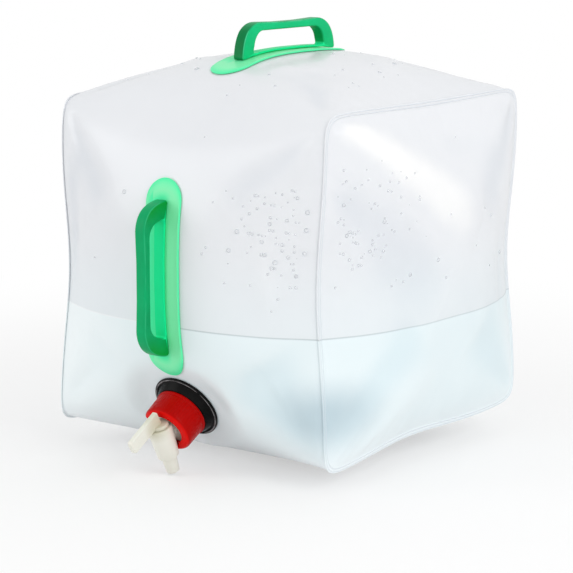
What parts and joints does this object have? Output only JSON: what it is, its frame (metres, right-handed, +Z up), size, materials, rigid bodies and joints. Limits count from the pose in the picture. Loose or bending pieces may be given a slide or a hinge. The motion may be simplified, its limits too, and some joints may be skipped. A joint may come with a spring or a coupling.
{
  "type": "collapsible water carrier",
  "caption": "Puffed cube bag of milky film with green moulded handles on top and front, and a red-collared turning tap low on the front; it squeezes flat sideways.",
  "frame": {"origin": "centre of the flat patch of the base, on the surface that the carrier stands on", "axes": "+Z up, -Y towards the front with the tap and the upright handle, +X towards the side panel on the right as seen from the front"},
  "size_m": [0.3316, 0.3791, 0.3616],
  "materials": {
    "film": "milky translucent film, semi-gloss",
    "pad": "light green translucent welded patch",
    "handle": "green translucent moulding, satin",
    "black_plastic": "black, glossy",
    "seal_rubber": "dark grey, matt",
    "collar_red": "red, glossy",
    "ivory": "ivory, slightly translucent, satin"
  },
  "bodies": {
    "bag": {"film_band": "film", "top_pad": "pad", "top_handle": "handle", "front_pad": "pad", "front_handle": "handle", "sealing_dish": "black_plastic", "neck_fitment": "black_plastic"},
    "right_side": {"right_panel": "film"},
    "left_side": {"left_panel": "film"},
    "gasket": {"neck_gasket": "seal_rubber"},
    "spigot": {"screw_collar": "collar_red", "tap_body": "ivory"},
    "key": {"tap_key": "ivory", "key_o_ring": "seal_rubber"}
  },
  "joints": [
    {"name": "right_side_squeeze", "type": "slide", "parent": "bag", "child": "right_side", "axis": [-1, 0, 0], "range_m": [0, 0.1], "deforming": ["film_band"]},
    {"name": "left_side_squeeze", "type": "slide", "parent": "bag", "child": "left_side", "axis": [1, 0, 0], "range_m": [0, 0.1], "deforming": ["film_band"]},
    {"name": "spigot_travel", "type": "slide", "parent": "bag", "child": "gasket", "axis": [0, -0.8536, -0.521], "range_m": [0, 0.01]},
    {"name": "spigot_unscrew", "type": "hinge", "parent": "gasket", "child": "spigot", "pos_m": [0, -0.1403, 0.0545], "axis": [0, -0.8536, -0.521], "range_deg": [0, 900]},
    {"name": "tap_turn", "type": "hinge", "parent": "spigot", "child": "key", "pos_m": [0, -0.17205, 0.03512], "axis": [0, -0.3827, 0.9239], "range_deg": [0, 90]}
  ],
  "couplings": [
    {"joint": "left_side_squeeze", "follows": "right_side_squeeze", "ratio": 1},
    {"joint": "spigot_travel", "follows": "spigot_unscrew", "m_per_rad": 0.00063662}
  ]
}
